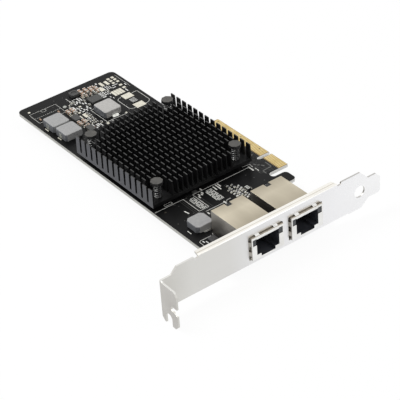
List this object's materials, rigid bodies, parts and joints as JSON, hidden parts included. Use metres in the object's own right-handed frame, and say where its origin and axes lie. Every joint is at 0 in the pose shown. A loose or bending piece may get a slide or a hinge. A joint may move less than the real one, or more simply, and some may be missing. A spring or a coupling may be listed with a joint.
{
  "type": "network interface card",
  "caption": "Expansion card for a server with two network jacks behind a full-height slot bracket, a black pin-fin heatsink on sprung pins and a gold edge connector.",
  "frame": {"origin": "middle of the key notch on the insertion edge of the board, at its component side", "axes": "+X the way the card goes into its slot, +Y from the bracket to the tail of the board, +Z out of the component side"},
  "size_m": [0.12, 0.1802, 0.023],
  "materials": {
    "board": "satin black solder mask",
    "gold": "gold plating",
    "nickel": "satin nickel plate",
    "screw": "satin",
    "shell": "satin tin plate",
    "housing": "moulded black",
    "window": "frosted",
    "sealed_block": "moulded black",
    "chip": "moulded",
    "pad": "matt grey",
    "black_aluminium": "black anodised",
    "pin_plastic": "moulded dark grey",
    "tinned_wire": "tinned",
    "spring_steel": "bright wire",
    "ferrite": "pressed iron powder, grey",
    "ceramic": "tan ceramic",
    "grey_chip": "moulded"
  },
  "bodies": {
    "root": {"bracket": "nickel", "bracket_screws": "screw", "capacitors": "ceramic", "circuit_board": "board", "controller_chip": "chip", "edge_contacts": "gold", "heatsink": "black_aluminium", "inductor_1": "ferrite", "inductor_2": "ferrite", "inductor_3": "ferrite", "inductor_4": "ferrite", "jack_contacts_1": "gold", "jack_contacts_2": "gold", "jack_housing_1": "housing", "jack_housing_2": "housing", "jack_magnetics_1": "sealed_block", "jack_magnetics_2": "sealed_block", "jack_shell_1": "shell", "jack_shell_2": "shell", "jack_tails_1": "tinned_wire", "jack_tails_2": "tinned_wire", "led_window_1_left": "window", "led_window_1_right": "window", "led_window_2_left": "window", "led_window_2_right": "window", "oscillator": "grey_chip", "power_controller": "grey_chip", "push_pin_1": "pin_plastic", "push_pin_2": "pin_plastic", "push_pin_3": "pin_plastic", "push_pin_4": "pin_plastic", "push_pin_spring_1": "spring_steel", "push_pin_spring_2": "spring_steel", "push_pin_spring_3": "spring_steel", "push_pin_spring_4": "spring_steel", "regulator_1": "grey_chip", "regulator_2": "grey_chip", "thermal_pad": "pad"}
  },
  "joints": []
}
